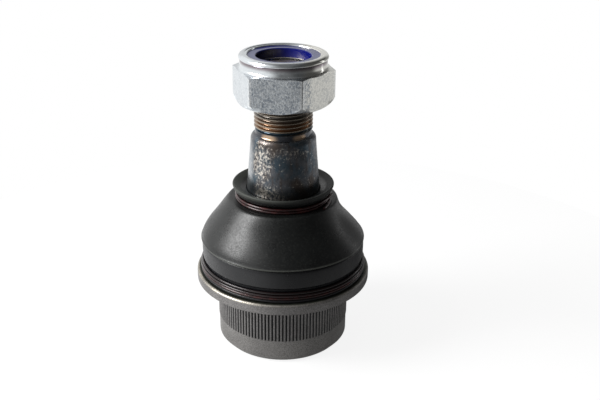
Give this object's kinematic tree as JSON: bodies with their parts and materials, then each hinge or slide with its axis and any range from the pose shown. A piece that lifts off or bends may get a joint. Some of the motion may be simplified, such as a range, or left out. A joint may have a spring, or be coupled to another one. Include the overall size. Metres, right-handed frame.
{
  "type": "suspension ball joint",
  "caption": "Press-in suspension ball joint with flanged knurled housing, rubber dust boot on wire clips, tapered stud and self-locking hexagon nut.",
  "frame": {"origin": "centre of the rim that the housing stands on, on the axis of the housing", "axes": "+Z along the axis of the housing, from the closed end to the threaded end of the stud; -Y is the side that the hexagon's nearest flat faces, turned 9.9 degrees to -X"},
  "size_m": [0.068, 0.068, 0.1155],
  "materials": {
    "phosphated_steel": "satin grey phosphate on turned forged steel",
    "cover_steel": "pressed steel sheet, phosphated",
    "spring_steel": "hardened spring steel, oiled",
    "acetal": "moulded natural acetal, greased",
    "tempered_steel": "ground and tempered steel with straw and blue temper colours",
    "boot_rubber": "moulded black chloroprene, soft satin",
    "lacquered_wire": "spring wire with dark red-brown lacquer",
    "zinc_plate": "bright zinc plate, blue passivated",
    "blue_nylon": "moulded blue nylon"
  },
  "bodies": {
    "housing_assembly": {"housing": "phosphated_steel", "closing_cap": "cover_steel", "preload_spring": "spring_steel", "lower_bearing_seat": "acetal", "upper_bearing_seat": "acetal", "lower_boot_clip": "lacquered_wire"},
    "boot": {"dust_boot": "boot_rubber"},
    "boot_neck": {"upper_boot_clip": "lacquered_wire"},
    "stud": {"ball_stud": "tempered_steel"},
    "insert": {"nylon_insert": "blue_nylon"},
    "nut": {"lock_nut": "zinc_plate"}
  },
  "joints": [
    {"name": "swing_heading", "type": "hinge", "parent": "housing_assembly", "child": "boot", "pos_m": [0, 0, 0.022], "axis": [0, 0, 1], "continuous": true},
    {"name": "swing", "type": "hinge", "parent": "boot", "child": "boot_neck", "pos_m": [0, 0, 0.022], "axis": [1, 0, 0], "range_deg": [-22, 22], "deforming": ["dust_boot"]},
    {"name": "stud_spin", "type": "hinge", "parent": "boot_neck", "child": "stud", "pos_m": [0, 0, 0.022], "axis": [0, 0, 1], "continuous": true},
    {"name": "nut_travel", "type": "slide", "parent": "stud", "child": "insert", "axis": [0, 0, 1], "range_m": [-0.0075, 0.0125], "deforming": ["nylon_insert"]},
    {"name": "nut_turn", "type": "hinge", "parent": "insert", "child": "nut", "pos_m": [0, 0, 0.1], "axis": [0, 0, 1], "range_deg": [-1801, 3001]}
  ],
  "couplings": [
    {"joint": "nut_turn", "follows": "nut_travel", "rad_per_m": 4188.8}
  ]
}
